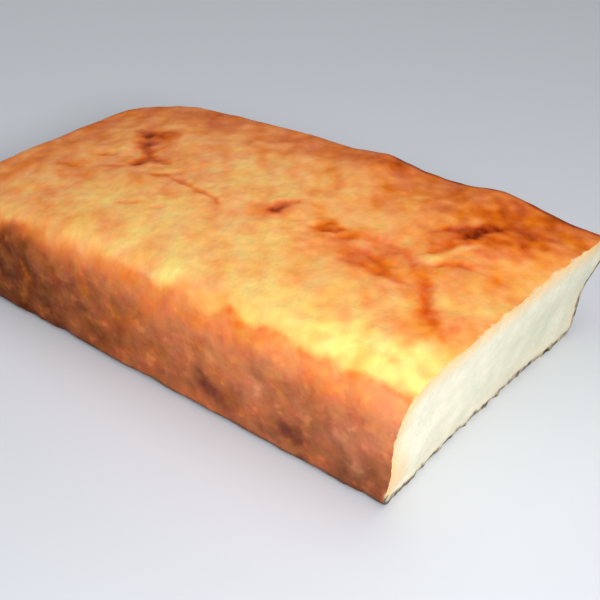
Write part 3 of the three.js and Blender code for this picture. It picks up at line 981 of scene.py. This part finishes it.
def makeCrustMaterial():
    look = bakedCrust
    material, add = newMaterial("baked crust")
    # the browning also carries painted shade in the hollows, along the foot and towards the baked end, and
    # painted highlights by the folds
    baked, redness, topness, cutDistance = (
        add("Attribute", attribute_name=name, out="Fac")
        for name in ("browningAndPaintedLight", "redness", "topness", "cutDistance"))
    onSide = add("Math", 1.0, topness, operation="SUBTRACT")
    # these go from the side's value to the top's as topness goes from 0 to 1
    freckles, strengthAtCut, tornReach = (
        add("Math", topness, look[name][1] - look[name][0], look[name][0], **multiplyAdd)
        for name in ("freckles", "strengthAtCut", "tornReach"))
    place = add(
        "Mapping", add("TexCoord", out="Object"), vector_type="TEXTURE",
        Rotation=(0.0, 0.0, math.radians(crust["stretchTurn"])), Scale=(crust["stretch"], 1.0, 1.0))
    # freckles and mottling, both 0 on average, move the browning up and down
    freckle, mottle = (
        add("Math", add("TexNoise", place, **waves(*look[name])), 0.5, operation="SUBTRACT")
        for name in ("freckle", "mottle"))
    freckles = add("Math", redness, look["redFreckles"], freckles, **multiplyAdd)
    level = add("Math", freckle, freckles, baked, **multiplyAdd)
    level = add("Math", mottle, look["mottleDepth"], level, **multiplyAdd)
    speck = add("MapRange", add("TexNoise", place, **waves(*look["speck"])), *look["speckFrom"])
    sideLevel = add("Math", speck, look["speckLift"], level, **multiplyAdd)
    side = add("ValToRGB", sideLevel, stops=look["sideShades"])
    skin = add("Mix", topness, in6=side, in7=add("ValToRGB", level, stops=look["topShades"]), **colourMix)
    # the line between top and side, broken up by the mottling and gone where the crust is brown
    rimLine = topness
    for part in (
        add("Math", onSide, look["rimShare"], operation="MULTIPLY"),
        add("Math", mottle, look["rimMottle"], 1.0, **multiplyAdd),
        add("MapRange", level, *look["rimPale"]),
        add("MapRange", cutDistance, *look["rimReach"]),
    ):
        rimLine = add("Math", rimLine, part, operation="MULTIPLY")
    skin = add("Mix", rimLine, in6=skin, in7=linear(look["rimShade"]), **colourMix)
    red = add("ValToRGB", level, stops=look["redShades"])
    red = add("Mix", topness, in6=linear(look["scorchShade"]), in7=red, **colourMix)
    skin = add("Mix", redness, in6=skin, in7=red, **colourMix)
    # the strength of the colour drifts everywhere; on the sides its hue does too, on the top with it
    elsewhere = add("VectorMath", place, look["driftOffset"], operation="ADD")
    strength = add("TexNoise", elsewhere, **waves(*look["drift"]))
    strength = add("Math", strength, look["strengthDrift"], 1.0 - look["strengthDrift"] / 2, **multiplyAdd)
    sideHue = add("TexNoise", elsewhere, **waves(*look["hueWaves"]))
    sideHue = add("Math", sideHue, *look["hueDrift"], **multiplyAdd)
    sideHue = add("Math", sideHue, onSide, 0.5, **multiplyAdd)
    warm = add("Math", strength, look["hueWithStrength"], -look["hueWithStrength"], **multiplyAdd)
    hue = add("Math", warm, topness, sideHue, **multiplyAdd)
    nearCut = add("MapRange", cutDistance, look["cutReach"], 0.0)
    strength = add("Math", nearCut, strengthAtCut, strength, **multiplyAdd)
    light = add("Math", freckle, look["freckleLight"], operation="MULTIPLY")
    light = add("Math", light, topness, 1.0, **multiplyAdd)
    skin = add("HueSaturation", Hue=hue, Saturation=strength, Value=light, Color=skin)
    # chips along the cut show the crumb
    chips = add("TexNoise", place, **waves(*look["torn"]))
    chips = add("Math", chips, tornReach, look["tornStart"], **multiplyAdd)
    chips = add("MapRange", add("Math", chips, cutDistance, operation="SUBTRACT"), *look["tornEdge"])
    skin = add("Mix", chips, in6=skin, in7=linear(freshCrumb["tufts"]), **colourMix)
    height = add("Math", mottle, look["bumpMottle"], freckle, **multiplyAdd)
    sheen = add("Math", topness, look["topSheen"], operation="MULTIPLY")
    sheen = add("Math", sheen, add("MapRange", level, *look["sheenFades"]), look["sheen"], **multiplyAdd)
    shader = add(
        "BsdfPrincipled", Base_Color=skin, Roughness=look["roughness"], IOR=look["ior"],
        Specular_IOR_Level=sheen, Normal=add("Bump", Height=height, **look["bump"]))
    add("OutputMaterial", Surface=shader)
    return material


# Fresh crumb: a sponge of set batter cut with a knife. It reads as matt cream, with painted shade in
# the pores and towards the far side, a peach rind along the top and a thin, lumpy dark brown one along
# the foot.
freshCrumb = {
    "cream": "#f8f2da",
    "shadowed": "#d3caa8",
    "greyed": "#dedec6",
    "tufts": "#fde7bb",
    "grain": (0.8, 2.0, 0.5),
    "clouds": (9.0, 3.0, 0.6),
    "sponge": 1.7,  # mm between the fine pores
    "spongeClouds": -0.3,  # there are more of them where the clouds are dark
    "poreEdge": (0.14, -0.02),
    "finePores": 0.3,  # how much they darken the crumb
    "poreShade": 1.6,  # and each millimetre of the larger ones
    "farSideShade": 4.0,  # painted shade: added to the grey for each metre towards the far side, away from the light
    "greyFrom": (0.25, 0.8),
    "edgeShades": [(0.0, "#fccb84"), (0.45, "#ffce90"), (1.0, "#efdabd")],
    "edge": 9.0,  # mm over which the crumb turns peach towards the top crust
    "edgeAtFoot": 2.8,  # mm over which it turns at the foot
    "edgeEase": 0.7,  # below 1 it turns fastest right under the crust
    "rindShades": [(0.34, "#c4b894"), (0.5, "#837a62"), (0.66, "#453c2c")],
    "rindLumps": (3.4, 2.0, 0.6),
    "rindSwing": 2.2,  # mm by which those lumps shift the inner edge of both
    "rindBeads": (2.38, 1.0, 0.5),
    "rindEdge": (0.975, 0.45),  # mm from the crust where the dark rind ends and where it is full
    "rindFrom": (0.55, 0.85),
    "roughness": 0.8,
    "ior": 1.4,
    "bump": dict(Strength=0.5, Distance=0.0002),  # m
}


def makeCrumbMaterial():
    look = freshCrumb
    material, add = newMaterial("fresh crumb")
    shade, crumbDepth, poreDepth = (
        add("Attribute", attribute_name=name, out="Fac") for name in ("rindShade", "crumbDepth", "poreDepth"))
    place = add("TexCoord", out="Object")
    grain, clouds, lumpy, beads = (
        add("TexNoise", place, **waves(*look[name]))
        for name in ("grain", "clouds", "rindLumps", "rindBeads"))
    # fine pores: dots round scattered cell middles
    cells = add("TexVoronoi", place, feature="F1", Scale=1.0 / (look["sponge"] * mm))
    cells = add("Math", clouds, look["spongeClouds"], cells, **multiplyAdd)
    holes = add("MapRange", cells, *look["poreEdge"])
    dark = add("Math", holes, look["finePores"], operation="MULTIPLY")
    dark = add("Math", poreDepth, look["poreShade"], dark, **multiplyAdd)
    crumb = add("Mix", dark, in6=linear(look["cream"]), in7=linear(look["shadowed"]), **colourMix)
    # painted shade: on top of its clouds the crumb turns greyer and darker towards the far side
    grey = add("Math", add("SeparateXYZ", place, out="Y"), look["farSideShade"], clouds, **multiplyAdd)
    grey = add("MapRange", grey, *look["greyFrom"])
    crumb = add("Mix", grey, in6=crumb, in7=linear(look["greyed"]), **colourMix)
    # towards the crust the crumb turns peach, and along the foot and the far side there is a dark rind
    inward = add("Math", lumpy, -look["rindSwing"], look["rindSwing"] / 2, **multiplyAdd)
    inward = add("Math", inward, crumbDepth, operation="ADD")
    edgeReach = add("Math", shade, look["edgeAtFoot"] - look["edge"], look["edge"], **multiplyAdd)
    pale = add("Math", add("MapRange", inward, 0.0, edgeReach), look["edgeEase"], operation="POWER")
    edge = add("ValToRGB", shade, stops=look["edgeShades"])
    colour = add("Mix", pale, in6=edge, in7=crumb, **colourMix)
    dark = add("MapRange", shade, *look["rindFrom"])
    dark = add("Math", add("MapRange", inward, *look["rindEdge"]), dark, operation="MULTIPLY")
    colour = add("Mix", dark, in6=colour, in7=add("ValToRGB", beads, stops=look["rindShades"]), **colourMix)
    height = add("Math", grain, holes, operation="SUBTRACT")
    shader = add(
        "BsdfPrincipled", Base_Color=colour, Roughness=look["roughness"], IOR=look["ior"],
        Normal=add("Bump", Height=height, **look["bump"]))
    add("OutputMaterial", Surface=shader)
    return material


cake.data.materials.append(makeCrustMaterial())
cake.data.materials.append(makeCrumbMaterial())
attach(cake, "root")
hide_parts("loaf_cake")
print("materials made")

# Pale matt floor and soft light: a plain surface that shows the loaf's own shadow
studio = {
    "floorSize": 6.0,  # m
    "floorColour": "#d9dde4",
    "floorRoughness": 0.85,
    "ambient": 0.22,
    "key": dict(place=(400, -300, 300), size=0.15, power=2.3),
    "fill": dict(place=(0, 0, 1000), size=1.2, power=4.6),
}


def makeStudio():
    half = studio["floorSize"] / 2
    mesh = bpy.data.meshes.new("floor")
    corners = [(-half, -half, 0), (half, -half, 0), (half, half, 0), (-half, half, 0)]
    mesh.from_pydata(corners, [], [(0, 1, 2, 3)])
    floor = bpy.data.objects.new("floor", mesh)
    bpy.context.collection.objects.link(floor)
    material, add = newMaterial("pale matt floor")
    colour, roughness = linear(studio["floorColour"]), studio["floorRoughness"]
    add("OutputMaterial", Surface=add("BsdfPrincipled", Base_Color=colour, Roughness=roughness))
    mesh.materials.append(material)
    for name in ("key", "fill"):
        lamp = studio[name]
        data = bpy.data.lights.new(name, "AREA")
        data.size, data.energy = lamp["size"], lamp["power"]
        light = bpy.data.objects.new(name, data)
        light.location = Vector(lamp["place"]) * mm
        light.rotation_mode = "QUATERNION"
        light.rotation_quaternion = (-light.location).to_track_quat("-Z", "Y")
        bpy.context.collection.objects.link(light)
    world = bpy.data.worlds.new("soft grey")
    world.use_nodes = True
    background = world.node_tree.nodes["Background"]
    background.inputs["Color"].default_value = (1.0, 1.0, 1.0, 1.0)
    background.inputs["Strength"].default_value = studio["ambient"]
    bpy.context.scene.world = world
    bpy.context.scene.view_settings.view_transform = "Standard"


makeStudio()
print("studio set")
